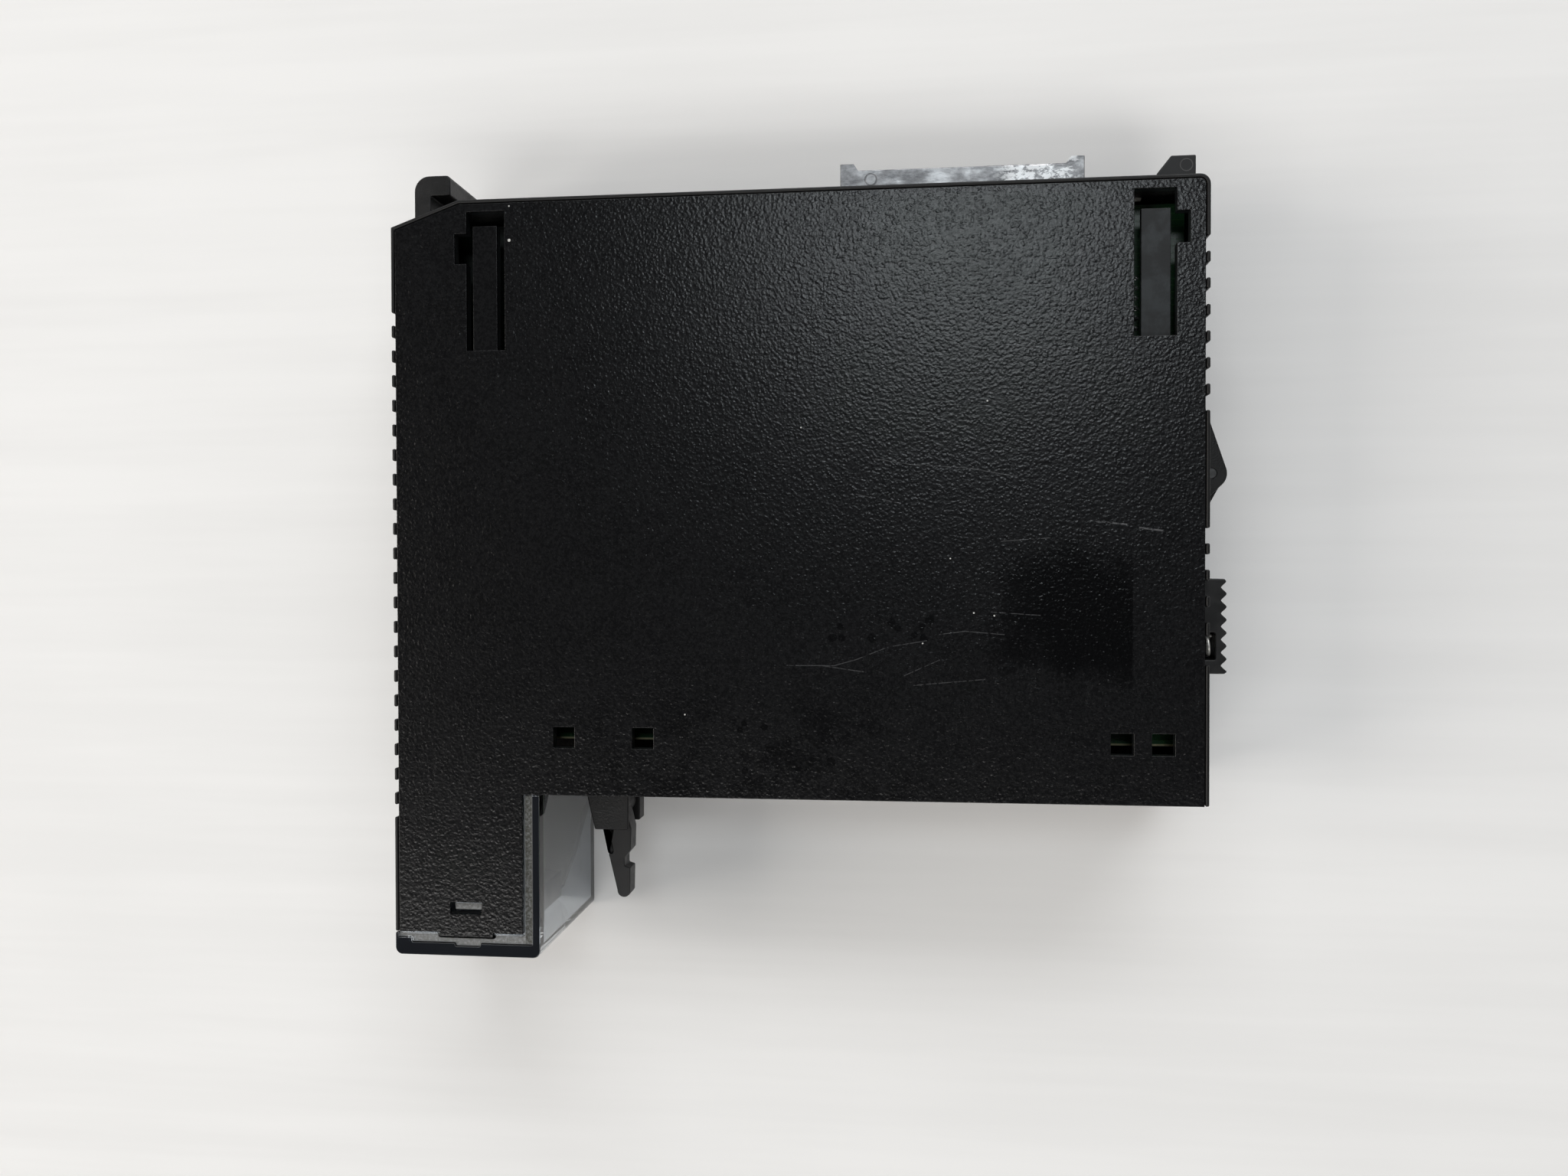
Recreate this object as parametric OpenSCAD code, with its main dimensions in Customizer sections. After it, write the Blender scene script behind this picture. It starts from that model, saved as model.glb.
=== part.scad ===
// Rack-mounted controller input module, lying on its side.
// X runs from the module's top end to its bottom end, Y from its front to its
// rear, Z up through its thickness. The origin is the centre of the main
// body's lower side face. Inside the modules, corner coordinates are used:
// X = 0 is the top end wall's outside, Y = 0 the main body's front face.

/* [Body] */
// Length of the main body, from the top end to the bottom end
body_h = 130; // [120:0.5:180]
// Depth of the main body, from its front face to its rear face
body_d = 96.6; // [90:0.1:130]
// Thickness of the whole module
body_t = 34; // [32:0.5:45]
// Thickness of the case walls
wall = 2; // [1.6:0.1:2.4]
// Thickness of the side cover
cover_t = 2; // [1.6:0.1:2.4]
// Width of the rim that stands up around the side cover
rim_t = 0.6; // [0.4:0.1:0.8]
// Length of the rear corner chamfer along X
chamfer_x = 11.4; // [8:0.1:14]
// Length of the rear corner chamfer along Y
chamfer_y = 4.1; // [2:0.1:6]
// Radius of the other rear corner
corner_r = 1.6; // [1:0.1:3]

/* [Display leg] */
// Width of the display leg, clear cover included
leg_w = 24.5; // [22:0.5:32]
// Reach of the display leg in front of the main body
leg_d = 26.7; // [24:0.1:40]
// Thickness of the clear cover's front wall
lens_front_t = 1.6; // [1.2:0.1:2.2]
// Thickness of the clear cover's side wall and flanges
lens_side_t = 1.3; // [1:0.1:1.8]
// Corner radius of the clear cover
lens_r = 1.2; // [0.8:0.1:2]
// Depth of the clear cover's ledge under the side cover's outside
ledge_depth = 0.5; // [0.3:0.1:0.8]

/* [Vents] */
// Distance from one vent slot to the next
vent_pitch = 4.03; // [3.5:0.01:6]
// Width of a vent slot in the top end wall
top_gap = 2.05; // [1:0.05:2.6]
// Width of a vent slot in the bottom end wall
bottom_gap = 2.35; // [1:0.05:2.6]
// Number of vent slots in the top end wall
top_vents = 21; // [10:1:22]

/* [Rear hook] */
// Width of the rear hook across the thickness
hook_w = 18; // [10:1:22]
// Length of the hook's arm
hook_len = 6.3; // [5:0.1:9]
// Reach of the hook behind the rear face
hook_out = 6.6; // [6:0.1:9]
// Thickness of the hook's arm
hook_arm_t = 3.4; // [2:0.1:4]
// Thickness of the hook's stem
hook_stem_t = 2.9; // [2:0.1:4]
// Radius of the hook's outer bend
hook_r = 2.6; // [1.5:0.1:3]

/* [Circuit board] */
// Thickness of the circuit board
board_t = 1.6; // [1:0.1:2]
// Depth of the board's solder side under the cover's outside
board_depth = 7; // [6:0.1:8]
// Distance from the front face to the board's front edge
board_front = 8.3; // [7:0.1:10]

/* [Backplane connector] */
// Width of the backplane connector
conn_w = 39.2; // [30:0.1:50]
// Thickness of the backplane connector
conn_t = 12; // [11:0.1:14]
// Reach of the connector behind the rear face
conn_out = 5; // [3:0.1:7]
// Distance from the connector to the bottom end
conn_end = 17.8; // [15:0.1:30]
// Number of contacts in one row
contact_count = 12; // [8:1:14]

/* [Jack lever] */
// Distance from the display leg to the jack lever's pivot
jack_gap = 9.3; // [9:0.1:12]
// Distance from the jack lever's pivot to the front face
jack_y = 4; // [3.5:0.1:5]
// Thickness of the jack lever
jack_t = 3.9; // [3:0.1:5]
// Radius of the jack lever's pin
jack_pin_r = 0.75; // [0.6:0.05:1]

/* [Terminal header] */
// Width of the terminal header
header_w = 72; // [60:1:76]
// Thickness of the terminal header
header_t = 16.4; // [14:0.1:18]
// Distance from the jack lever's pivot to the header
header_gap = 10.2; // [9:0.1:12]
// Number of pins in one row
pin_count = 10; // [6:1:11]
// Side length of a square pin
pin_w = 1; // [0.8:0.1:1.2]

/* [Release lever] */
// Distance of the release lever's pivot outside the bottom end wall
pivot_out = 2.2; // [2:0.1:3]
// Distance from the front face to the release lever's pivot
pivot_y = 51.7; // [48:0.1:56]
// Width of the release lever across the thickness
lever_w = 10; // [8:0.5:12]
// Radius of the release lever's pin
pin_r = 0.8; // [0.7:0.05:1.1]
// Number of teeth on the thumb grip
grip_teeth = 8; // [5:1:10]
// Radius of the return spring's coil, at the wire's centre
spring_r = 1.65; // [1.2:0.05:1.8]
// Radius of the spring's wire
wire_r = 0.25; // [0.2:0.01:0.35]

/* [Clearances] */
// Gap between pieces that are fitted together
fit_gap = 0.15; // [0.1:0.01:0.25]
// Gap beside each moving lever
side_gap = 0.3; // [0.2:0.05:0.4]
// Radial gap between a pin and the lever that turns on it
pin_gap = 0.05; // [0.03:0.01:0.08]

/* [Hidden] */
$fn = 48;
eps = 0.01;

black = [0.09, 0.09, 0.1];
soft_black = [0.15, 0.15, 0.16];
metal = [0.62, 0.62, 0.6];
gold = [0.8, 0.62, 0.25];
clear = [0.75, 0.8, 0.84, 0.4];
green = [0.1, 0.42, 0.22];

mid_z = body_t / 2;
seat_z = body_t - cover_t;

// Circuit board, and the case's posts that carry it; each post's X and Y
board_top = body_t - board_depth;
board_low = board_top - board_t;
board_gap = 0.6;
board_rear = body_d - wall - board_gap;
board_tongue_x = [4.5, 19.5];
board_tongue_front = -17;

// Display leg: the case's wall and floor, the cover's end, the clear cover
leg_wall_d = leg_d - 3.8;
cover_leg_x = leg_w - 2.9;
cover_front = 3.9 - leg_d;
cover_front_mid = 3.2 - leg_d;
cover_step_x = [7.5, 16.6];
lens_rear = -fit_gap;
lens_in_x = leg_w - lens_side_t;
lens_in_y = lens_front_t - leg_d;
leg_floor_front = lens_in_y + 0.5;
lip_t = 0.5;
lip_y = [lens_in_y + 1.25, lens_in_y + 0.5];
lip_x = [2.8, 10.2, 14.4];
ledge_rib = 0.3;
tab_x = [10, 14.6];
tab_y = [-19.2, -18];
tab_slot_margin = 0.6;

// Snap slots and windows in the side cover
slot_y = [body_d - 24.5, body_d - 2];
left_slot = [12.8, 19.2];
right_slot = [body_h - 11.4, body_h - 5];
slot_depth = 2;
notch_y = [slot_y[1] - 8.4, slot_y[1] - 3.5];
notch_w = 2;
left_tongue = [left_slot[0] + 1.1, left_slot[1] - 1.3];
left_tongue_end = slot_y[1] - 2.4;
right_tongue = [right_slot[0] + 1.2, right_slot[1] - 0.8];
right_tongue_end = slot_y[1] - 2.85;
window_w = 3.5;
window_y = [7.7, 11.1];

// Jack lever and its ears
jack_x = leg_w + jack_gap;
jack_pivot = [jack_x, -jack_y];
ear_span = 12.4;
ear_z = [mid_z - ear_span / 2, mid_z + ear_span / 2];
near_ear_t = 0.9;
far_ear_t = 3.6;
ear_out = jack_y + 3.7;
jack_gap_z = [ear_z[0] + far_ear_t, ear_z[1] - near_ear_t];
jack_side = 0.2;
jack_z = [jack_gap_z[1] - jack_side - jack_t, jack_gap_z[1] - jack_side];
jack_barrel_r = 2.2;
jack_heel = 5.5;
jack_slot_x = [jack_x - 2, jack_x + 6.6];
jack_pin_skin = 0.4;
groove_depth = 0.5;

// Terminal header
header_start = jack_x + header_gap;
header_x = [header_start, header_start + header_w];
header_y = [0.5, 20];
header_z = [board_low - header_t, board_low];
header_wall = 3;
header_cavity = 12;
header_foot = 4;
pin_tip = 5.5;
pin_pitch = (header_w - 2 * header_wall) / pin_count;
pin_rows = [header_z[0] + header_t * 0.34, header_z[0] + header_t * 0.66];
pin_tails = [header_y[1] - 2, header_y[1] - 5];
solder_out = 0.8;

window_x = [jack_x - 6.9, jack_x + 6.1, body_h - 14.8, body_h - 8.6];

post_r = 2;
posts = [
    [8, 62],
    [header_start + header_w / 2 - 14, board_rear - 6],
    [body_h - 14, 62],
    [header_start - 10, board_front + 8]
];

// Release lever, its lugs and its channel
lug_t = 2;
lug_r = 2.5;
lug_y = [pivot_y - 6.6, pivot_y + 17.2];
pivot = [body_h + pivot_out, pivot_y];
channel_z = [mid_z - lever_w / 2 - side_gap, mid_z + lever_w / 2 + side_gap];
channel_x = body_h - 6;
channel_skin = 1.5;
arm_x = [body_h - 2.7, body_h - 0.2];
arm_front = pivot_y + 13;
waist_x = [body_h - 0.6, body_h + 1.8];
waist_y = pivot_y - 6;
latch_x = body_h + 0.2;
latch_lip = 3.3;
latch_edge = 0.5;
latch_bevel = 2.3;
latch_y = [body_d + 3.2, body_d + 6.6];
grip_y = [pivot_y - 32.3, pivot_y - 16.9];
grip_x = [body_h - 2.4, body_h + 5.2];
tooth_h = 0.95;
grip_end = 0.3;
// Half-width of each tooth's flat tip, as a part of the pitch
tip_part = 0.07;
channel_front = grip_y[0] - 1.4;
pocket_y = [grip_y[0] + 2.3, grip_y[0] + 6.7];
pocket_x = grip_x[1] - 1.8;
spring_y = (pocket_y[0] + pocket_y[1]) / 2;
spring_z = mid_z + lever_w / 2 - spring_r - wire_r - side_gap;
spring_turns = 6;
rest_y = [body_d - 12, body_d - 9];
rest_inset = 2;

// Vent slots: where each row starts and how many slots it has
top_row = body_d - 18;
rear_row = [body_d - 9.4, 7];
front_row = [42.7, 4];
top_vent_z = [5, seat_z - 3];
low_vent_z = [4, channel_z[0] - lug_t - 1];
high_vent_z = [channel_z[1] + lug_t + 3, seat_z - 2];

// Backplane connector
conn_x = [body_h - conn_end - conn_w, body_h - conn_end];
conn_y = [body_d - 10.5, body_d + conn_out];
conn_z = [board_low - conn_t, board_low];
shell_t = 1.2;
shell_lug_out = 1.1;
shell_lug_w = [2.2, 2.9];
insulator_t = 1.5;
insulator_x = [conn_x[0] + shell_lug_w[1], conn_x[1] - shell_lug_w[1]];
insulator_z = [conn_z[0] + shell_t, conn_z[1] - shell_t];
insulator_rear = conn_y[1] - 0.6;
socket_x = [insulator_x[0] + insulator_t, insulator_x[1] - insulator_t];
socket_z = [insulator_z[0] + insulator_t, insulator_z[1] - insulator_t];
socket_depth = 7;
contact_t = 0.4;
contact_w = 1.2;
contact_pitch = (socket_x[1] - socket_x[0]) / contact_count;
contact_rear = conn_y[1] - 1.4;
tail_w = 0.6;
tail_y = [conn_y[0] + 1.5, conn_y[0] + 4];

// LED block
led_x = [8.5, 14];
led_r = 0.9;
led_count = 8;
led_pitch = 2.4;
led_base = 1;
holder_x = [4, 18.2];
holder_y = [lens_in_y + 0.7, lens_in_y + 5.5];
holder_z = [wall + 1.5, board_low];

module at_origin() translate([-body_h / 2, -body_d / 2, 0]) children();

module box(x, y, z) translate([x[0], y[0], z[0]]) cube([x[1] - x[0], y[1] - y[0], z[1] - z[0]]);

module slab(z) translate([0, 0, z[0]]) linear_extrude(z[1] - z[0]) children();

module pin(at, r, z) translate([at[0], at[1], z[0]]) cylinder(r = r, h = z[1] - z[0]);

function arc(c, r, from, to, n = 8) =
    [for (i = [0 : n]) c + r * [cos(from + (to - from) * i / n), sin(from + (to - from) * i / n)]];

// Outline of the main body, moved inwards by e, with its front edge at Y = front
function body_outline(e, front) =
    let (k = chamfer_y / chamfer_x, s = e * sqrt(1 + k * k))
    concat(
        [[e, front], [body_h - e, front]],
        arc([body_h - corner_r, body_d - corner_r], max(corner_r - e, 0.05), 0, 90),
        [[(chamfer_y - e + s) / k, body_d - e], [e, body_d - chamfer_y + k * e - s]]
    );

// The leg's lower side wall is narrower than its cover and tapers to the front
function leg_floor_outline() = [
    [0, wall], [0, -leg_wall_d], [lens_side_t + fit_gap, -leg_wall_d],
    [lens_side_t + fit_gap, leg_floor_front], [16, leg_floor_front],
    [17.8, leg_floor_front + 1.8], [20.2, leg_floor_front + 8.4],
    [lens_in_x - 1.8, leg_floor_front + 14.2], [lens_in_x - 0.3, leg_floor_front + 18.2],
    [lens_in_x - 0.3, wall]
];

module vent_row(x, z, first, count, gap)
    for (i = [0 : count - 1])
        box(x, [first - i * vent_pitch - gap, first - i * vent_pitch], z);

module case_vents() {
    inner = [body_h - wall - 1, body_h + 1];
    rim = [body_h - rim_t, body_h + 1];
    vent_row([-1, wall + 1], top_vent_z, top_row, top_vents, top_gap);
    vent_row([-1, rim_t], [top_vent_z[1] - eps, body_t + 1], top_row, top_vents, top_gap);
    for (row = [rear_row, front_row]) {
        vent_row(inner, low_vent_z, row[0], row[1], bottom_gap);
        vent_row(inner, high_vent_z, row[0], row[1], bottom_gap);
        vent_row(rim, [high_vent_z[1] - eps, body_t + 1], row[0], row[1], bottom_gap);
    }
    box(rim, pocket_y, [high_vent_z[1], body_t + 1]);
}

// Hook that hangs the module on the rack's upper edge
module rear_hook() {
    start = 0.8;
    tip_r = 0.8;
    root = body_d - chamfer_y;
    top = body_d + hook_out;
    slab([mid_z - hook_w / 2, mid_z + hook_w / 2])
        polygon(concat(
            [[start + hook_stem_t, root + 0.4], [start + hook_stem_t, top - hook_arm_t]],
            [[start + hook_len, top - hook_arm_t]],
            arc([start + hook_len - tip_r, top - tip_r], tip_r, 0, 90, 4),
            arc([start + hook_r, top - hook_r], hook_r, 90, 180),
            [[start, root]]
        ));
}

// Outline of a pivot lug on the bottom end wall
module lug_outline()
    polygon(concat(
        [[body_h - 1, lug_y[1]], [body_h - 1, lug_y[0]]],
        arc(pivot, lug_r, -48, 18)
    ));

// Outline of an ear that holds the jack lever's pin
module ear_outline()
    polygon([
        [jack_x - 4.3, 1], [jack_x - 4.3, 1.8 - jack_y], [jack_x - 3, -ear_out],
        [jack_x + 2.8, -ear_out], [jack_x + 2.9, 1]
    ]);

// Space that the release lever moves in
module lever_channel()
    box([channel_x, body_h + 1], [channel_front, body_d + 1], channel_z);

// Walls around that space, inside the case
module channel_walls()
    intersection() {
        box([channel_x - channel_skin, body_h], [channel_front - channel_skin, body_d],
            [channel_z[0] - lug_t, channel_z[1] + lug_t]);
        slab([0, body_t]) polygon(body_outline(0, 0));
    }

// Rib in the channel that the lever's rear arm rests on
module lever_rest()
    box([channel_x - 0.5, arm_x[0] - side_gap], rest_y,
        [channel_z[0] + rest_inset, channel_z[1] - rest_inset]);

module case_shell()
    difference() {
        union() {
            slab([0, body_t]) polygon(body_outline(0, 0));
            box([0, wall], [-leg_wall_d, 1], [0, body_t]);
            slab([0, wall]) polygon(leg_floor_outline());
        }
        slab([wall, body_t + 1]) polygon(body_outline(wall, wall));
        slab([seat_z, body_t + 1]) polygon(body_outline(rim_t, -1));
        box([rim_t, wall + 1], [-leg_wall_d - 1, 1], [seat_z, body_t + 1]);
        case_vents();
    }

module case_openings() {
    box(jack_slot_x, [-1, wall + 1], jack_gap_z);
    box([board_tongue_x[0] - 0.5, board_tongue_x[1] + 0.5], [-1, wall + 1], [wall + 2, seat_z - 2]);
    box([conn_x[0] - fit_gap, conn_x[1] + fit_gap], [body_d - wall - 1, body_d + 1],
        [conn_z[0] - fit_gap, conn_z[1] + fit_gap]);
    box([header_x[0] - fit_gap, header_x[1] + fit_gap], [-1, wall + 1],
        [header_z[0] - fit_gap, header_z[1] + fit_gap]);
}

module case() {
    color(black) at_origin() difference() {
        union() {
            case_shell();
            channel_walls();
            slab([channel_z[0] - lug_t, channel_z[0]]) lug_outline();
            slab([channel_z[1], channel_z[1] + lug_t]) lug_outline();
            slab([ear_z[0], jack_gap_z[0]]) ear_outline();
            slab([jack_gap_z[1], ear_z[1]]) ear_outline();
            rear_hook();
            for (p = posts) pin(p, post_r, [wall - eps, board_low]);
            box([header_x[0] + header_foot, header_x[1] - header_foot],
                [header_y[1] - header_foot, header_y[1]], [wall - eps, header_z[0]]);
        }
        lever_channel();
        pin(pivot, pin_r, [0, body_t]);
        pin(jack_pivot, jack_pin_r, [ear_z[0] - 1, ear_z[1] - jack_pin_skin]);
        case_openings();
    }
    color(black) at_origin() lever_rest();
}

// Outline of the side cover's leg, grown by gap
function cover_leg(gap) =
    let (x = cover_step_x, left = rim_t + fit_gap)
    [
        [left, 1], [left, cover_front - gap], [x[0] - gap, cover_front - gap],
        [x[0] - gap, cover_front_mid - gap], [x[1] + gap, cover_front_mid - gap],
        [x[1] + gap, cover_front - gap], [cover_leg_x + gap, cover_front - gap],
        [cover_leg_x + gap, 1]
    ];

// Slot in the cover with a notch beside it, on the side of notch_x
module snap_slot(x, notch_x) {
    box(x, slot_y, [seat_z - 1, body_t + 1]);
    box(notch_x, notch_y, [seat_z - 1, body_t + 1]);
}

module side_cover() {
    color(black) at_origin() {
        difference() {
            slab([seat_z, body_t]) union() {
                polygon(body_outline(rim_t + fit_gap, 0));
                polygon(cover_leg(0));
            }
            snap_slot(left_slot, [left_slot[0] - notch_w, left_slot[0] + 1]);
            snap_slot(right_slot, [right_slot[1] - 1, right_slot[1] + notch_w]);
            for (x = window_x)
                box([x, x + window_w], window_y, [seat_z - 1, body_t + 1]);
            box([tab_x[0] - tab_slot_margin, tab_x[1] + fit_gap],
                [tab_y[0] - tab_slot_margin, tab_y[1] + fit_gap], [seat_z - 1, body_t + 1]);
        }
        box(left_tongue, [slot_y[0] - 1, left_tongue_end], [seat_z + 0.1, body_t - 0.1]);
        box(right_tongue, [slot_y[0] - 1, right_tongue_end], [seat_z - 0.4, body_t - 1]);
        for (p = posts) pin(p, post_r, [board_top, seat_z + eps]);
    }
}

module lens_region()
    polygon(concat(
        [[leg_w, lens_rear], [wall + fit_gap, lens_rear]],
        [[wall + fit_gap, -leg_wall_d - fit_gap], [0, -leg_wall_d - fit_gap]],
        arc([lens_r, lens_r - leg_d], lens_r, 180, 270),
        arc([leg_w - lens_r, lens_r - leg_d], lens_r, 270, 360)
    ));

// Recess between the clear cover's lip and the side cover
module ledge_opening()
    polygon([
        [lip_t, 1], [lip_t, lip_y[0]], [lip_x[0], lip_y[0]], [lip_x[0], lip_y[1]],
        [lip_x[1], lip_y[1]], [lip_x[1], lens_in_y], [lip_x[2], lens_in_y],
        [lip_x[2], lip_y[1]], [lens_in_x, lip_y[1]], [lens_in_x, 1]
    ]);

// Thin ribs on the ledge along the side cover's two shorter front edges
module ledge_ribs() {
    y = [cover_front - fit_gap - ledge_rib, cover_front - fit_gap];
    z = [body_t - ledge_depth - eps, body_t - ledge_depth / 2];
    box([rim_t + fit_gap, cover_step_x[0] - 2 * fit_gap], y, z);
    box([cover_step_x[1] + 2 * fit_gap, cover_leg_x], y, z);
}

// One clear moulding: front wall, side wall, and a flange along each side
module lens_cover() {
    ledge_z = body_t - ledge_depth;
    color(clear) at_origin() {
        slab([0, seat_z]) difference() {
            lens_region();
            translate([lens_side_t, lens_in_y]) square([lens_in_x - lens_side_t, leg_d]);
        }
        slab([seat_z - eps, ledge_z]) difference() {
            lens_region();
            polygon(cover_leg(fit_gap));
        }
        slab([ledge_z - eps, body_t]) difference() {
            lens_region();
            ledge_opening();
        }
        ledge_ribs();
        box([wall + fit_gap, lens_in_x + eps], [lens_in_y - eps, lens_rear],
            [seat_z - lens_side_t, seat_z]);
        slab([0, lens_side_t]) difference() {
            translate([lens_side_t - eps, lens_in_y - eps])
                square([lens_in_x - lens_side_t + 2 * eps, lens_rear - lens_in_y + eps]);
            offset(delta = fit_gap) polygon(leg_floor_outline());
        }
        box(tab_x, tab_y, [seat_z - eps, body_t - 0.6]);
    }
}

module led_positions()
    for (x = led_x)
        for (i = [0 : led_count - 1])
            translate([x, 0, (holder_z[0] + holder_z[1]) / 2 + (i - (led_count - 1) / 2) * led_pitch])
                rotate([-90, 0, 0]) children();

module led_holder() {
    color(soft_black) at_origin() difference() {
        box(holder_x, holder_y, holder_z);
        led_positions() translate([0, 0, holder_y[0] - 1])
            cylinder(r = led_r + fit_gap, h = holder_y[1] - holder_y[0] + 2);
    }
}

// Small lamps with a base that rests against the holder's back
module status_leds() {
    color([0.75, 0.2, 0.15]) at_origin() led_positions() {
        translate([0, 0, holder_y[0] + led_r]) sphere(r = led_r, $fn = 24);
        translate([0, 0, holder_y[0] + led_r]) cylinder(r = led_r, h = holder_y[1] - holder_y[0]);
        translate([0, 0, holder_y[1]]) cylinder(r = led_r + 0.25, h = led_base);
    }
}

module main_board() {
    edge = wall + board_gap;
    color(green) at_origin() difference() {
        slab([board_low, board_top]) union() {
            intersection() {
                polygon(body_outline(edge, board_front));
                translate([edge, board_front]) square([body_h - 2 * edge, board_rear - board_front]);
            }
            translate([board_tongue_x[0], board_tongue_front])
                square([board_tongue_x[1] - board_tongue_x[0], board_front - board_tongue_front + 1]);
        }
        pin_shapes();
        contact_tails();
    }
}

// Metal shell with a lug at each end that stands out behind it
module connector_shell() {
    rear = conn_y[1];
    lug_rear = rear + shell_lug_out;
    color(metal) at_origin() difference() {
        slab(conn_z) polygon([
            [conn_x[0], conn_y[0]], [conn_x[1], conn_y[0]], [conn_x[1], lug_rear],
            [conn_x[1] - shell_lug_w[0], lug_rear], [conn_x[1] - shell_lug_w[1], rear],
            [conn_x[0] + shell_lug_w[1], rear], [conn_x[0] + shell_lug_w[0], lug_rear],
            [conn_x[0], lug_rear]
        ]);
        box(insulator_x, [conn_y[0] - 1, rear + 2], insulator_z);
        contact_tails();
    }
}

module connector_insulator() {
    color(soft_black) at_origin() difference() {
        box(insulator_x, [conn_y[0], insulator_rear], insulator_z);
        box(socket_x, [insulator_rear - socket_depth, insulator_rear + 1], socket_z);
        contact_shapes();
        contact_tails();
    }
}

module contact_places()
    for (i = [0 : contact_count - 1])
        translate([socket_x[0] + (i + 0.5) * contact_pitch, 0, 0]) children();

module contact_shapes()
    contact_places() {
        x = [-contact_w / 2, contact_w / 2];
        box(x, [tail_y[0], contact_rear], [socket_z[0], socket_z[0] + contact_t]);
        box(x, [tail_y[1], contact_rear], [socket_z[1] - contact_t, socket_z[1]]);
    }

module contact_tails()
    contact_places() {
        x = [-tail_w / 2, tail_w / 2];
        box(x, [tail_y[0], tail_y[0] + tail_w], [socket_z[0], board_top + solder_out]);
        box(x, [tail_y[1], tail_y[1] + tail_w], [socket_z[1] - contact_t, board_top + solder_out]);
    }

module connector_contacts() {
    color(gold) at_origin() {
        contact_shapes();
        contact_tails();
    }
}

// Bent pins: each runs back through the header and up through the board
module pin_shapes()
    for (i = [0 : pin_count - 1], row = [0, 1])
        translate([header_x[0] + header_wall + (i + 0.5) * pin_pitch, 0, 0]) {
            x = [-pin_w / 2, pin_w / 2];
            tail = [pin_tails[row], pin_tails[row] + pin_w];
            box(x, [header_y[0] + pin_tip, tail[1]], [pin_rows[row] - pin_w / 2, pin_rows[row] + pin_w / 2]);
            box(x, tail, [pin_rows[row] - pin_w / 2, board_top + solder_out]);
        }

module terminal_header() {
    color(soft_black) at_origin() difference() {
        box(header_x, header_y, header_z);
        box([header_x[0] + header_wall, header_x[1] - header_wall],
            [header_y[0] - 1, header_y[0] + header_cavity],
            [header_z[0] + header_wall, header_z[1] - header_wall]);
        pin_shapes();
    }
}

module terminal_pins() {
    color(gold) at_origin() pin_shapes();
}

// Outline of the jack lever around its pivot: finger end, claw and heel
module jack_outline() {
    polygon(concat(
        [[-2.1, 0], [-1.9, -3.8], [0.6, -14.2]],
        arc([1.75, -14.3], 1.15, 180, 340),
        [[2.9, -10.4], [1.9, -10.1], [1.9, -8.6], [3, -7.3], [3.1, -3.6], [2.1, 0]]
    ));
    translate([-1, 0]) square([2, jack_heel]);
}

// Lever that pushes the terminal block off its pins
module jack_lever() {
    barrel_z = [jack_gap_z[0] + jack_side, jack_z[1]];
    color(soft_black) at_origin() difference() {
        union() {
            slab(jack_z) translate(jack_pivot) jack_outline();
            pin(jack_pivot, jack_barrel_r, barrel_z);
        }
        pin(jack_pivot, jack_pin_r + pin_gap, [0, body_t]);
        slab([jack_z[1] - groove_depth, body_t]) translate(jack_pivot)
            polygon([[-1.6, -3.9], [-0.9, -3.9], [-0.1, -7.7], [-0.4, -8.1], [-0.75, -7.9]]);
    }
}

module jack_lever_pin() {
    color(metal) at_origin() pin(jack_pivot, jack_pin_r, [ear_z[0], ear_z[1] - jack_pin_skin]);
}

// Edge of the thumb grip: straight-sided teeth with narrow tips, from rear to front
function grip_edge() =
    let (pitch = (grip_y[1] - grip_y[0] - 2 * grip_end) / (grip_teeth - 1))
    concat(
        [[grip_x[1] - grip_end, grip_y[1]]],
        [for (i = [0 : grip_teeth - 2], t = [tip_part, 0.5, 1 - tip_part])
            [grip_x[1] - tooth_h * (t == 0.5 ? 1 : 0),
                grip_y[1] - grip_end - (i + t) * pitch]],
        [[grip_x[1], grip_y[0] + grip_end], [grip_x[1] - grip_end, grip_y[0]]]
    );

// Outline of the release lever, from the latch at its rear to the thumb grip
module lever_outline() {
    lip_x = arm_x[0] - latch_lip;
    polygon(concat(
        [[arm_x[0], arm_front], [arm_x[0], latch_y[0]], [lip_x, latch_y[0]]],
        [[lip_x, latch_y[0] + latch_edge], [lip_x + latch_bevel, latch_y[1]]],
        [[latch_x, latch_y[1]], [latch_x, latch_y[0]], [arm_x[1], latch_y[0] - 1]],
        [[arm_x[1], arm_front]],
        arc(pivot, lug_r, 30, -30),
        [[waist_x[1], waist_y], [waist_x[1], grip_y[1]]],
        grip_edge(),
        [[grip_x[0], grip_y[0]], [grip_x[0], grip_y[1]], [waist_x[0], grip_y[1]]],
        [[waist_x[0], waist_y]],
        arc(pivot, lug_r, 210, 150)
    ));
}

module release_lever() {
    color(soft_black) at_origin() difference() {
        slab([mid_z - lever_w / 2, mid_z + lever_w / 2]) lever_outline();
        pin(pivot, pin_r + pin_gap, [0, body_t]);
        box([grip_x[0] - 1, pocket_x], pocket_y, [spring_z - spring_r - wire_r - side_gap, body_t]);
    }
}

module release_lever_pin() {
    color(metal) at_origin() pin(pivot, pin_r, [channel_z[0] - lug_t, channel_z[1] + lug_t]);
}

// Points of one ring of the spring's wire; t runs from 0 to 1 along the coil
function spring_ring(t, length, sides) =
    let (a = 360 * spring_turns * t)
    [for (k = [0 : sides - 1])
        let (r = spring_r + wire_r * cos(360 * k / sides))
        [wire_r + t * length + wire_r * sin(360 * k / sides), r * cos(a), r * sin(a)]];

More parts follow.
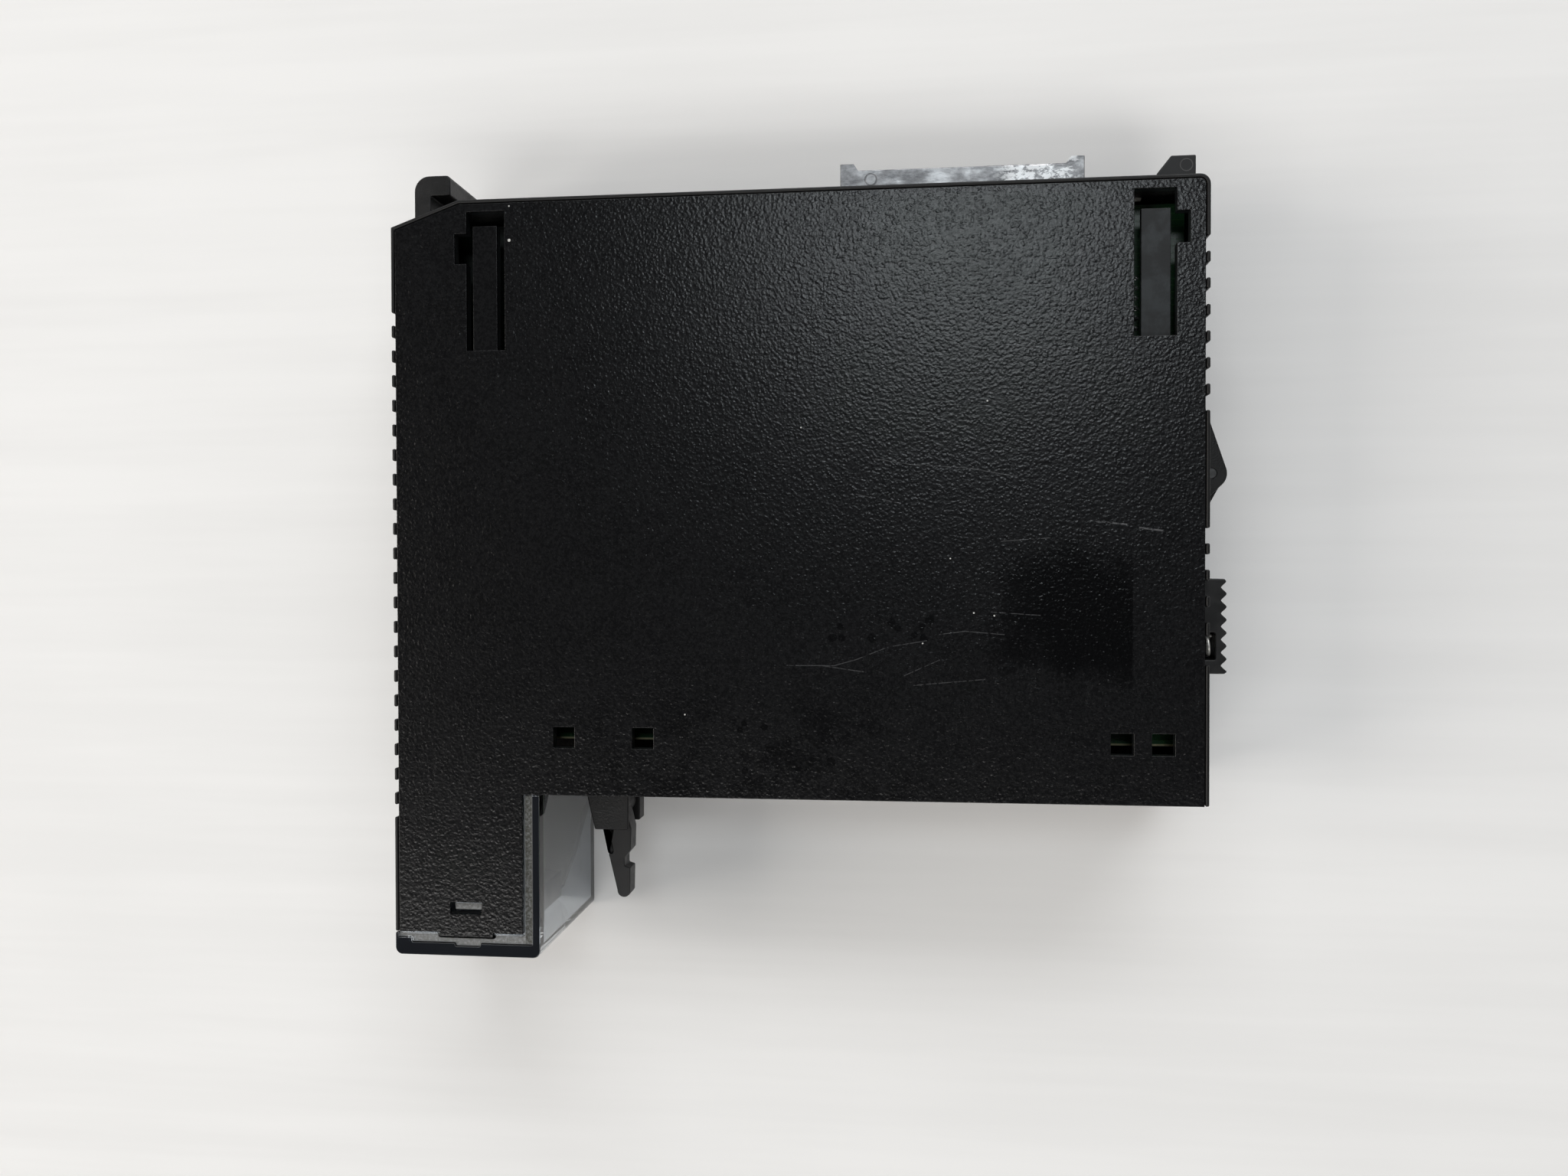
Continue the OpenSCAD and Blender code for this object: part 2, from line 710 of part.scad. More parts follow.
module release_spring() {
    sides = 8;
    rings = spring_turns * 14;
    length = pocket_x - channel_x - 2 * wire_r;
    color(metal) at_origin() translate([channel_x, spring_y, spring_z])
        polyhedron(
            points = [for (i = [0 : rings]) each spring_ring(i / rings, length, sides)],
            faces = concat(
                [[for (k = [0 : sides - 1]) k]],
                [[for (k = [sides - 1 : -1 : 0]) rings * sides + k]],
                [for (i = [0 : rings - 1], k = [0 : sides - 1])
                    let (a = i * sides, n = (k + 1) % sides)
                    [a + k, a + sides + k, a + sides + n, a + n]]
            )
        );
}

// A row of equal parts that hang under the board, along X
module under_board(first, pitch, count)
    for (i = [0 : count - 1])
        translate([first[0] + i * pitch, first[1], board_low]) children();

module hanging_box(length, width, height)
    translate([-length / 2, -width / 2, -height]) cube([length, width, height]);

// A chip package with a row of pins on each long side
module chip(length, width, height, pins) {
    pin_pitch = 2.2;
    stand_off = 0.4;
    lead = [0.6, 0.5, height - 1];
    translate([0, 0, -stand_off]) hanging_box(length, width, height - stand_off);
    for (i = [0 : pins - 1], side = [-1, 1])
        translate([(i - (pins - 1) / 2) * pin_pitch, side * (width / 2 + 0.15), 0])
            hanging_box(lead[0], lead[1], lead[2]);
}

module optocouplers() {
    color(soft_black) at_origin() under_board([27, 32], 11, 8) rotate(90) chip(9, 6.2, 3.6, 3);
}

module input_resistors() {
    length = 7;
    radius = 1.2;
    color([0.75, 0.68, 0.5]) at_origin() under_board([22, 45], 5.2, 18)
        translate([0, -length / 2, -radius]) rotate([-90, 0, 0]) cylinder(r = radius, h = length);
}

module filter_capacitors() {
    height = 11;
    color([0.2, 0.22, 0.3]) at_origin() under_board([24, 82], 11, 4)
        translate([0, 0, -height]) cylinder(r = 4, h = height);
}

module bus_chips() {
    color(soft_black) at_origin() under_board([32, 66], 26, 3) chip(20, 7.4, 3.6, 8);
}

module bypass_capacitors() {
    color([0.7, 0.5, 0.25]) at_origin() under_board([32, 57.5], 26, 3) hanging_box(5, 2, 5);
}

module resistor_networks() {
    color([0.25, 0.2, 0.15]) at_origin() under_board([32, 75.5], 26, 2) hanging_box(18, 2, 5.5);
}

case();
side_cover();
lens_cover();
led_holder();
status_leds();
main_board();
connector_shell();
connector_insulator();
connector_contacts();
terminal_header();
terminal_pins();
jack_lever();
jack_lever_pin();
release_lever();
release_lever_pin();
release_spring();
optocouplers();
input_resistors();
filter_capacitors();
bus_chips();
bypass_capacitors();
resistor_networks();
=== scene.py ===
"""Rack-mounted controller input module, lying on its side on a pale floor."""
import math
import random

import bmesh
import bpy
from mathutils import Matrix, Quaternion, Vector


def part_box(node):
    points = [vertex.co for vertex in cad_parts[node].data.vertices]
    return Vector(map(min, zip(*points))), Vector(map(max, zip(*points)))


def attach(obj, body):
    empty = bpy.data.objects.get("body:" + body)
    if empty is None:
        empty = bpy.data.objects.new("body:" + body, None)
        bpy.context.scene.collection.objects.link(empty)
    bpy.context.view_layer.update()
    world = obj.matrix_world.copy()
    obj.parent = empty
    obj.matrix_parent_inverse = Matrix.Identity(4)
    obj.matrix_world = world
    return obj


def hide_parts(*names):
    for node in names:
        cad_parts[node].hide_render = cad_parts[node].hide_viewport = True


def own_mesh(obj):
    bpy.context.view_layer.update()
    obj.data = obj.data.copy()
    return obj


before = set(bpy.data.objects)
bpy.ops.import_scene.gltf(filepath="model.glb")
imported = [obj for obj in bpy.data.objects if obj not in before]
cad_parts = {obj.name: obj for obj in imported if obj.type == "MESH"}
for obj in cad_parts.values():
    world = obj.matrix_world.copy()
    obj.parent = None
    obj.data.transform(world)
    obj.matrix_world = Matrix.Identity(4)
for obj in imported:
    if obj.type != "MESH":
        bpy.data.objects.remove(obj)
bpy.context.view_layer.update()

MM = 0.001
FLOOR_WIDTH = 30
board_low, board_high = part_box("main_board")

# Heights and places that materials use are in millimetres.
face_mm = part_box("side_cover")[1].z / MM
lens_end_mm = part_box("lens_cover")[1].x / MM


# ---------------------------------------------------------------- camera, lights, floor

def make_camera():
    """Stands a fifth of a metre above the cover and looks almost straight down."""
    turn_degrees = Vector((-0.90, 6.44, -0.09))
    data = bpy.data.cameras.new("camera")
    data.sensor_width = 36
    data.lens = 29.13
    data.clip_start = 0.01
    camera = bpy.data.objects.new("camera", data)
    camera.location = (0.0221, -0.0116, 0.2336)
    camera.rotation_mode = "QUATERNION"
    camera.rotation_quaternion = Quaternion(
        turn_degrees.normalized(), math.radians(turn_degrees.length))
    bpy.context.scene.collection.objects.link(camera)
    bpy.context.scene.camera = camera


def area_light(name, place, size, power, colour):
    """A rectangular lamp that faces the object."""
    data = bpy.data.lights.new(name, "AREA")
    data.shape = "RECTANGLE"
    data.size, data.size_y = size
    data.energy = power
    data.color = colour
    light = bpy.data.objects.new(name, data)
    light.location = place
    light.rotation_mode = "QUATERNION"
    light.rotation_quaternion = (-Vector(place)).to_track_quat("-Z", "Y")
    bpy.context.scene.collection.objects.link(light)


def make_world():
    """A soft surround: dark overhead, so that black plastic stays black, and bright lower down."""
    world = bpy.data.worlds.new("world")
    world.use_nodes = True
    tree = world.node_tree
    place = tree.nodes.new("ShaderNodeTexCoord").outputs["Generated"]
    split = tree.nodes.new("ShaderNodeSeparateXYZ")
    ramp = tree.nodes.new("ShaderNodeValToRGB")
    ramp.color_ramp.elements[0].position = 0.1
    ramp.color_ramp.elements[0].color = (0.30, 0.30, 0.31, 1)
    ramp.color_ramp.elements[1].position = 0.88
    ramp.color_ramp.elements[1].color = (0.02, 0.021, 0.024, 1)
    tree.links.new(place, split.inputs[0])
    tree.links.new(split.outputs["Z"], ramp.inputs["Fac"])
    tree.links.new(ramp.outputs["Color"], tree.nodes["Background"].inputs["Color"])
    bpy.context.scene.world = world


# Name, place and size in metres, power in watts, colour.
LAMPS = [
    ("ceiling_lamp", (0.075, 0.46, 1.5), (0.44, 0.24), 2.3, (0.90, 0.965, 1)),
    ("rear_lamp", (0.2, 1.3, 1.1), (1.6, 0.6), 13.5, (0.98, 0.99, 1)),
    ("front_lamp", (-0.1, -0.9, 1.4), (1.8, 0.4), 10.5, (1, 0.98, 0.95)),
    ("side_lamp", (-1.4, -0.1, 0.8), (0.8, 1.2), 14, (1, 0.94, 0.87)),
]


def make_lights():
    """Four lamps and the surround, shown with plain colour management."""
    for lamp in LAMPS:
        area_light(*lamp)
    make_world()
    bpy.context.scene.view_settings.view_transform = "Standard"


# ---------------------------------------------------------------- shader helpers

class Shader:
    """A material under construction: add() makes a node and links or sets its inputs."""

    def __init__(self, name):
        self.material = bpy.data.materials.new(name)
        self.material.use_nodes = True
        self.tree = self.material.node_tree
        self.tree.nodes.clear()
        self.output = self.tree.nodes.new("ShaderNodeOutputMaterial")
        self.place = self.add("TexCoord").outputs["Object"]
        self.mm = self.vector("SCALE", self.place, Scale=1 / MM)

    def add(self, kind, inputs=None, **settings):
        node = self.tree.nodes.new("ShaderNode" + kind)
        for key, value in settings.items():
            setattr(node, key, value)
        for key, value in (inputs or {}).items():
            self.feed(node.inputs[key], value)
        return node

    def feed(self, socket, value):
        """Links an output to the socket, or sets the socket to a plain value."""
        if isinstance(value, bpy.types.NodeSocket):
            self.tree.links.new(value, socket)
        elif socket.type == "RGBA" and len(value) == 3:
            socket.default_value = (*value, 1)
        else:
            socket.default_value = value

    def math(self, operation, a, b=0.0, clamp=False):
        """One number from two."""
        return self.add("Math", {0: a, 1: b}, operation=operation, use_clamp=clamp).outputs[0]

    def vector(self, operation, a, b=None, **inputs):
        """A vector operation, whose result is a number for the three measuring ones."""
        if b is not None:
            inputs[1] = b
        node = self.add("VectorMath", {0: a, **inputs}, operation=operation)
        return node.outputs["Value" if operation in ("DOT_PRODUCT", "LENGTH", "DISTANCE") else "Vector"]

    def axis(self, name, source=None):
        """The X, Y or Z of source, or of the place in millimetres."""
        return self.add("SeparateXYZ", {0: source or self.mm}).outputs[name]

    def noise(self, size, detail=2.0, rough=0.5, place=None, stretch=None):
        """Noise whose largest blobs are about size millimetres across."""
        place = place or self.mm
        if stretch:
            place = self.vector("MULTIPLY", place, stretch)
        return self.add("TexNoise", {
            "Vector": place, "Scale": 1 / size, "Detail": detail, "Roughness": rough}).outputs["Fac"]

    def step(self, value, low, high, to_low=0.0, to_high=1.0):
        """A smooth ramp of value from to_low at low to to_high at high."""
        return self.add("MapRange", {
            "Value": value, "From Min": low, "From Max": high,
            "To Min": to_low, "To Max": to_high}, interpolation_type="SMOOTHSTEP").outputs[0]

    def between(self, value, low, high, soft):
        """One from low to high, fading to zero over the width soft outside."""
        rise = self.step(value, low - soft, low)
        return self.math("MULTIPLY", rise, self.step(value, high, high + soft, 1.0, 0.0))

    def mix_value(self, factor, a, b):
        """A number that goes from a to b as factor goes from 0 to 1."""
        return self.add("Mix", {0: factor, 2: a, 3: b}).outputs[0]

    def mix(self, factor, a, b):
        """A colour that goes from a to b as factor goes from 0 to 1."""
        node = self.add("Mix", data_type="RGBA")
        for socket, value in ((node.inputs[0], factor), (node.inputs[6], a), (node.inputs[7], b)):
            self.feed(socket, value)
        return node.outputs[2]

    def bump(self, height, distance, strength=1.0, normal=None):
        """Bump of a height from 0 to 1, distance millimetres tall."""
        inputs = {"Height": height, "Distance": distance * MM, "Strength": strength}
        if normal is not None:
            inputs["Normal"] = normal
        return self.add("Bump", inputs).outputs["Normal"]

    def soft_edges(self, radius):
        """Normals that round every edge by radius millimetres."""
        return self.add("Bevel", {"Radius": radius * MM}, samples=6).outputs["Normal"]

    def facing_up(self):
        """One on faces that look up, zero on the others."""
        return self.step(self.axis("Z", self.add("NewGeometry").outputs["Normal"]), 0.6, 0.9)

    def spots(self, places):
        """Distance to the nearest of the (x, y, radius) spots, in radii."""
        flat = self.vector("MULTIPLY", self.mm, (1.0, 1.0, 0.0))
        nearest = 99.0
        for x, y, radius in places:
            reach = self.math("DIVIDE", self.vector("DISTANCE", flat, (x, y, 0.0)), radius)
            nearest = self.math("MINIMUM", nearest, reach)
        return nearest

    def strokes(self, lines):
        """Distance to the nearest of the polylines, each a list of (x, y) in millimetres."""
        flat = self.vector("MULTIPLY", self.mm, (1.0, 1.0, 0.0))
        nearest = 99.0
        for line in lines:
            for (ax, ay), (bx, by) in zip(line, line[1:]):
                run = Vector((bx - ax, by - ay, 0.0))
                away = self.vector("SUBTRACT", flat, (ax, ay, 0.0))
                along = self.vector("DOT_PRODUCT", away, tuple(run / run.length_squared))
                along = self.math("ADD", along, 0.0, clamp=True)
                foot = self.vector("SCALE", tuple(run), Scale=along)
                nearest = self.math("MINIMUM", nearest, self.vector("DISTANCE", away, foot))
        return nearest

    def finish(self, **inputs):
        """The material, with these inputs of its surface, underscores standing for spaces."""
        surface = self.add("BsdfPrincipled", {k.replace("_", " "): v for k, v in inputs.items()})
        self.tree.links.new(surface.outputs[0], self.output.inputs["Surface"])
        return self.material


# ---------------------------------------------------------------- materials

def floor_paint():
    """Pale painted board with faint long brush streaks."""
    s = Shader("floor_paint")
    streaks = s.noise(9, 3.0, 0.6, stretch=(0.06, 1.0, 1.0))
    cloud = s.noise(120, 3.0)
    tone = s.math("ADD", s.math("MULTIPLY", streaks, 0.5), s.math("MULTIPLY", cloud, 0.5))
    colour = s.mix(s.step(tone, 0.35, 0.65), (0.86, 0.86, 0.855), (0.91, 0.91, 0.905))
    return s.finish(Base_Color=colour, Roughness=0.6, Specular_IOR_Level=0.15,
                    Normal=s.bump(streaks, 0.05))


def pebbles(s, size):
    """Height field of a spark-eroded mould: rounded pebbles of uneven size."""
    warp = s.add("TexNoise", {"Vector": s.mm, "Scale": 0.7 / size, "Detail": 1.0}).outputs["Color"]
    shift = s.vector("SCALE", s.vector("SUBTRACT", warp, (0.5, 0.5, 0.5)), Scale=0.9 * size)
    place = s.vector("ADD", s.mm, shift)
    cells = s.add("TexVoronoi", {"Vector": place, "Scale": 1 / size, "Smoothness": 0.35},
                  feature="SMOOTH_F1").outputs["Distance"]
    domes = s.step(cells, 0.0, 0.7, 1, 0)
    return s.math("ADD", s.math("MULTIPLY", domes, 0.45), s.math("MULTIPLY", s.noise(size * 0.9), 1.1))


def scatter(seed, count, centre, spread, radii):
    """Round spots (x, y, radius) strewn around centre, in millimetres."""
    rng = random.Random(seed)
    spots = []
    for _ in range(count):
        x = centre[0] + spread[0] * rng.uniform(-1, 1)
        y = centre[1] + spread[1] * rng.uniform(-1, 1)
        spots.append((x, y, rng.uniform(*radii)))
    return spots


# Marks on the side cover, in millimetres: spots are (x, y, radius), strokes are lists of (x, y).
DROPLETS = scatter(4, 12, (14, -21), (10, 2), (0.5, 0.8)) + scatter(8, 7, (-2, -40), (9, 4), (0.5, 0.9))
SPECKS = [(-45, 41.5, 0.28), (-45, 47, 0.14)] + scatter(6, 7, (5, -5), (45, 30), (0.11, 0.16))
SCRATCHES = [
    [(14, 5.5), (20, 4.5), (28, 4), (36, 2.5)],
    [(34, 23), (39, 22.5), (45, 22)],
    [(0, -27), (7.5, -27), (11, -26), (16, -24), (22, -23)],
    [(5.5, -27), (9, -27.5), (12.5, -28)],
    [(24, -22), (28, -21.5), (34, -22)],
    [(18.5, -28.5), (24, -26)],
    [(20, -30), (31, -29)],
    [(11, 0), (18, -1.5)],
    [(33.5, -7.5), (41, -7)],
    [(32, -18.5), (39.5, -19)],
]
GOUGES = [[(48, -4.5), (52.5, -5)], [(54.5, -5.5), (58, -6)]]


def label_ghost(s):
    """Cleaner plastic with a ragged outline and one straight edge, where a label was pulled off."""
    x, y = s.axis("X"), s.axis("Y")
    ragged = s.math("MULTIPLY", s.math("SUBTRACT", s.noise(7, 5.0, 0.65), 0.5), 16.0)
    inside_x = s.math("MULTIPLY", s.step(s.math("ADD", x, ragged), 28, 40), s.step(x, 53.3, 53.7, 1, 0))
    inside_y = s.between(s.math("ADD", y, ragged), -24, -14, 7)
    return s.math("MULTIPLY", inside_x, inside_y)


def dusty_film(s):
    """How thick the dusty film lies: mottled, and thinner in dried drops and in the label's ghost."""
    blots = s.step(s.noise(9, 6.0, 0.7), 0.38, 0.62)
    stained = s.math("MULTIPLY", s.between(s.axis("Y"), -45, -38, 8), s.between(s.axis("X"), -22, 8, 16))
    even, blotted = s.step(blots, 0, 1, 0.86, 1.0), s.step(blots, 0, 1, 0.4, 1.0)
    wobble = s.math("MULTIPLY", s.math("SUBTRACT", s.noise(0.9, 2.0), 0.5), 0.9)
    drops = s.step(s.math("ADD", s.spots(DROPLETS), wobble), 0.75, 1.1, 1, 0)
    clean = s.math("MAXIMUM", s.math("MULTIPLY", drops, 0.7), s.math("MULTIPLY", label_ghost(s), 0.9))
    film = s.math("MULTIPLY", s.math("SUBTRACT", 1.0, clean), s.mix_value(stained, even, blotted))
    dust = s.step(s.noise(0.45, 3.0, 0.75), 0.42, 0.72, 0.55, 2.0)
    return s.math("MULTIPLY", film, dust)


def scratched(s, colour, top):
    """The colour with pale broken scratches and white specks on the top face."""
    gaps = s.step(s.noise(1.1, 3.0, 0.7), 0.38, 0.52)
    fine = s.step(s.strokes(SCRATCHES), 0.02, 0.10, 1, 0)
    deep = s.step(s.strokes(GOUGES), 0.04, 0.2, 1, 0)
    scratch = s.math("MULTIPLY", s.math("MAXIMUM", s.math("MULTIPLY", fine, 0.55), deep), gaps)
    specks = s.step(s.spots(SPECKS), 0.7, 1.0, 1, 0)
    colour = s.mix(s.math("MULTIPLY", scratch, top), colour, (0.085, 0.087, 0.09))
    return s.mix(s.math("MULTIPLY", specks, top), colour, (0.55, 0.55, 0.53))


def cover_plastic():
    """Black leather-grained moulding with a dusty film, and smoother, smudged snap tongues below it."""
    s = Shader("cover_plastic")
    grain_depth = 0.042
    edge_radius = 0.14
    top = s.between(s.axis("Z"), face_mm - 0.05, face_mm + 1, 0.03)
    tongue = s.step(s.axis("Z"), face_mm - 0.7, face_mm - 0.5, 1, 0)
    film = dusty_film(s)
    smudge = s.step(s.noise(5, 4.0, 0.6), 0.42, 0.62)
    tongue_colour = s.mix(smudge, (0.004, 0.0046, 0.0052), (0.010, 0.012, 0.0135))
    colour = s.mix(film, (0.0008, 0.0008, 0.001), (0.0052, 0.0053, 0.0059))
    colour = scratched(s, s.mix(tongue, colour, tongue_colour), top)
    rough = s.mix_value(tongue, s.step(film, 0.2, 1.0, 0.19, 0.24), s.step(smudge, 0, 1, 0.45, 0.36))
    grain = s.math("MULTIPLY", pebbles(s, 0.55), s.step(top, 0, 1, 0.1, 1.0))
    return s.finish(Base_Color=colour, Roughness=rough, Specular_IOR_Level=0.42,
                    Normal=s.bump(grain, grain_depth, normal=s.soft_edges(edge_radius)))


def case_plastic():
    """Black case: finely eroded walls, and a smoother, darker rim around the cover."""
    s = Shader("case_plastic")
    rim = s.step(s.axis("Z"), face_mm - 1.2, face_mm - 0.7)
    haze = s.step(s.noise(6, 5.0, 0.65), 0.35, 0.7)
    colour = s.mix(haze, (0.003, 0.003, 0.0033), (0.0065, 0.0066, 0.007))
    colour = s.mix(rim, colour, (0.0018, 0.0018, 0.002))
    grain = s.math("MULTIPLY", pebbles(s, 0.35), s.step(rim, 0, 1, 1.0, 0.15))
    rough = s.math("MAXIMUM", s.step(haze, 0, 1, 0.42, 0.55), inside_leg(s))
    return s.finish(Base_Color=colour, Roughness=rough,
                    Specular_IOR_Level=0.4, Normal=s.bump(grain, 0.03))


def inside_leg(s):
    """One in the display leg close behind the lens's side panel, where walls are a dull matt black."""
    reach, leg_start = 5, -49
    behind_lens = s.between(s.axis("X"), lens_end_mm - reach, lens_end_mm, 0.4)
    return s.math("MULTIPLY", behind_lens, s.step(s.axis("Y"), leg_start - 0.2, leg_start + 0.2, 1, 0))


def satin_black(name="satin_black", dark=0.0045, light=0.009, rings=()):
    """Smooth black moulding, with a faint circle at each ejector pin in rings."""
    s = Shader(name)
    haze = s.step(s.noise(3, 5.0, 0.65), 0.35, 0.68)
    colour = s.mix(haze, (dark, dark, dark * 1.04), (light, light, light * 1.06))
    height = s.math("MULTIPLY", s.noise(0.25, 2.0), 0.25)
    if rings:
        circle = s.between(s.spots(rings), 0.86, 0.98, 0.06)
        colour = s.mix(s.math("MULTIPLY", circle, 0.8), colour, (0.07, 0.07, 0.07))
        height = s.math("ADD", height, circle)
    rough = s.math("MAXIMUM", s.step(haze, 0, 1, 0.4, 0.52), inside_leg(s))
    return s.finish(Base_Color=colour, Roughness=rough,
                    Specular_IOR_Level=0.42, Normal=s.bump(height, 0.03))


def clear_plastic():
    """Smoky clear moulding: a top rim painted dark for the shade seen down through its walls, and dust on
    the ledge beside the side cover and its tab.
    """
    s = Shader("clear_plastic")
    strip_width = 2.5
    z = s.axis("Z")
    ledge = s.math("MULTIPLY", s.between(z, face_mm - 0.75, face_mm - 0.12, 0.05), s.facing_up())
    dust = s.math("MULTIPLY", ledge, s.step(s.noise(0.5, 4.0, 0.7), 0.3, 0.6, 0.8, 1.0))
    at_end = s.step(s.axis("X"), lens_end_mm - strip_width - 0.1, lens_end_mm - strip_width)
    side_strip = s.math("MULTIPLY", at_end, s.step(z, face_mm - 0.4, face_mm - 0.3, 1, 0))
    frost = s.mix(side_strip, (0.17, 0.172, 0.168), (0.065, 0.065, 0.056))
    scuff = s.step(s.noise(4, 4.0, 0.65), 0.5, 0.75)
    # Painted shade: the upward faces of the top rim are coloured near black and made nearly opaque, for the
    # darkness seen down through the clear walls.
    rim = s.math("MULTIPLY", s.step(z, face_mm - 0.1, face_mm - 0.04), s.facing_up())
    colour = s.mix(dust, (0.74, 0.78, 0.82), frost)
    colour = s.mix(rim, colour, (0.012, 0.0135, 0.0165))
    rough = s.math("MAXIMUM", s.math("MULTIPLY", dust, 0.5), s.step(scuff, 0, 1, 0.02, 0.14))
    return s.finish(Base_Color=colour, Roughness=rough, IOR=1.49, Specular_IOR_Level=0.03,
                    Transmission_Weight=s.step(s.math("MAXIMUM", dust, rim), 0, 1, 1.0, 0.1))


def board_laminate():
    """Green solder mask over copper tracks, with shade painted in towards the rear, uncoated laminate on the
    side faces, and a pale strip painted along the front edge as its highlight.
    """
    s = Shader("board_laminate")
    front_edge = -40.0
    edge_radius = 0.08
    normal = s.add("NewGeometry").outputs["Normal"]
    side = s.step(s.math("ABSOLUTE", s.axis("Z", normal)), 0.4, 0.6, 1, 0)
    # Painted highlight: a narrow pale strip along the front edge of the top face stands in for the edge's
    # bright line.
    front_edge_highlight = s.between(s.axis("Y"), front_edge, front_edge + 0.3, 0.04)
    tracks = s.add("TexBrick", {"Vector": s.mm, "Scale": 0.35, "Mortar Size": 0.022,
                                "Mortar Smooth": 0.2, "Brick Width": 2.6, "Row Height": 0.36}).outputs["Fac"]
    weave = s.noise(0.6, 1.0)
    colour = s.mix(weave, (0.016, 0.085, 0.03), (0.024, 0.115, 0.04))
    colour = s.mix(tracks, colour, (0.06, 0.2, 0.06))
    # Painted shade: the rear of the board, most of all at its left end, is coloured dark for the shade that
    # falls there.
    painted_rear_shade = s.math("MULTIPLY", s.step(s.axis("X"), -42, -40, 1, 0.6), s.step(s.axis("Y"), 12, 14))
    colour = s.mix(painted_rear_shade, colour, (0.004, 0.008, 0.006))
    # Uncoated laminate colour on the side faces, and the painted front edge highlight.
    laminate_edge_and_highlight = s.math("MAXIMUM", side, front_edge_highlight)
    colour = s.mix(laminate_edge_and_highlight, colour, s.mix(s.noise(0.5), (0.38, 0.36, 0.2), (0.6, 0.57, 0.36)))
    return s.finish(Base_Color=colour, Roughness=s.step(laminate_edge_and_highlight, 0, 1, 0.3, 0.7),
                    Normal=s.bump(tracks, 0.035, normal=s.soft_edges(edge_radius)))


def tin_plate():
    """Dull mottled tin on the connector's shell: dark smears, brighter patches between X 36 and 44 and a
    faint ring.
    """
    s = Shader("tin_plate")
    cloud = s.noise(2.2, 6.0, 0.72, stretch=(0.55, 1.0, 1.0))
    smear = s.step(s.noise(1.2, 5.0, 0.7, stretch=(0.3, 1.0, 1.0)), 0.52, 0.68)
    colour = s.mix(s.step(cloud, 0.3, 0.7), (0.20, 0.205, 0.215), (0.46, 0.465, 0.475))
    colour = s.mix(s.math("MULTIPLY", smear, 0.55), colour, (0.10, 0.105, 0.115))
    # Brighter tin in patches between X 36 and 44.
    bright_patch = s.math("MULTIPLY", s.step(s.noise(1.0, 6.0, 0.75, stretch=(0.6, 1.0, 1.0)), 0.46, 0.54),
                  s.between(s.axis("X"), 36, 44, 4))
    colour = s.mix(s.math("MULTIPLY", bright_patch, 0.9), colour, (0.88, 0.89, 0.9))
    circle = s.between(s.spots([(13.0, 51.7, 1.05)]), 0.82, 0.95, 0.08)
    colour = s.mix(s.math("MULTIPLY", circle, 0.6), colour, (0.08, 0.08, 0.085))
    return s.finish(Base_Color=colour, Roughness=s.step(cloud, 0.3, 0.7, 0.5, 0.34), Metallic=0.85,
                    Normal=s.bump(s.math("SUBTRACT", cloud, circle), 0.03))


def plain(name, colour, roughness, metallic=0.0, size=1.5, contrast=0.35):
    """An even finish with slight blotches of colour and roughness."""
    s = Shader(name)
    dark = tuple(c * (1 - contrast) for c in colour)
    blotch = s.step(s.noise(size, 4.0, 0.65), 0.35, 0.65)
    fine = s.noise(size * 0.12, 2.0)
    return s.finish(Base_Color=s.mix(blotch, dark, colour), Metallic=metallic,
                    Roughness=s.step(fine, 0.3, 0.7, roughness * 0.85, roughness * 1.15),
                    Normal=s.bump(fine, 0.006))


def banded_resistor():
    """Lacquered body with three colour rings across the axis."""
    s = Shader("resistor_coat")
    y = s.axis("Y")
    first_ring, ring_pitch, ring_width = -5.2, 1.3, 0.5
    rings = [(0.25, 0.03, 0.02), (0.35, 0.12, 0.02), (0.08, 0.03, 0.015)]
    colour = (0.50, 0.40, 0.24)
    for i, ring in enumerate(rings):
        low = first_ring + i * ring_pitch
        colour = s.mix(s.between(y, low, low + ring_width, 0.05), colour, ring)
    return s.finish(Base_Color=colour, Roughness=0.4, Normal=s.bump(s.noise(0.4, 3.0), 0.02))


def make_materials():
    """One finish for each CAD node, by its name, and two more for the added pieces."""
    satin = satin_black()
    gold = plain("gold_plate", (0.75, 0.52, 0.2), 0.3, 1.0)
    steel = plain("bright_steel", (0.62, 0.62, 0.61), 0.25, 1.0, 0.8)
    chip = plain("chip_epoxy", (0.02, 0.02, 0.021), 0.5)
    return {
        "case": case_plastic(), "side_cover": cover_plastic(), "lens_cover": clear_plastic(),
        "led_holder": satin, "status_leds": plain("led_epoxy", (0.35, 0.05, 0.035), 0.2),
        "main_board": board_laminate(), "connector_shell": tin_plate(), "connector_insulator": satin,
        "connector_contacts": gold, "terminal_header": satin, "terminal_pins": gold,
        "jack_lever": satin_black("lever_black", 0.006, 0.011), "jack_lever_pin": steel,
        "release_lever": satin_black("latch_black", 0.006, 0.011, [(63.7, 53.3, 1.05)]),
        "release_lever_pin": plain("pin_steel", (0.12, 0.12, 0.12), 0.4, 1.0),
        "release_spring": plain("spring_wire", (0.85, 0.84, 0.80), 0.35, 0.6, 0.6, 0.2),
        "optocouplers": chip, "input_resistors": banded_resistor(),
        "filter_capacitors": plain("capacitor_sleeve", (0.03, 0.035, 0.08), 0.35),
        "bus_chips": chip, "bypass_capacitors": plain("capacitor_epoxy", (0.5, 0.28, 0.08), 0.4),
        "resistor_networks": plain("network_coat", (0.1, 0.05, 0.03), 0.4),
        "solder": plain("solder", (0.62, 0.63, 0.64), 0.28, 1.0, 0.5),
        "component_body": plain("component_body", (0.55, 0.54, 0.50), 0.5, 0.0, 0.5),
    }


# ---------------------------------------------------------------- CAD nodes

# Bevel widths in millimetres. The cover's and the board's edges are rounded in their materials.
EDGES = {
    "case": 0.25, "lens_cover": 0.22, "jack_lever": 0.2,
    "release_lever": 0.22, "connector_shell": 0.15, "connector_insulator": 0.12,
    "terminal_header": 0.2, "led_holder": 0.15,
}


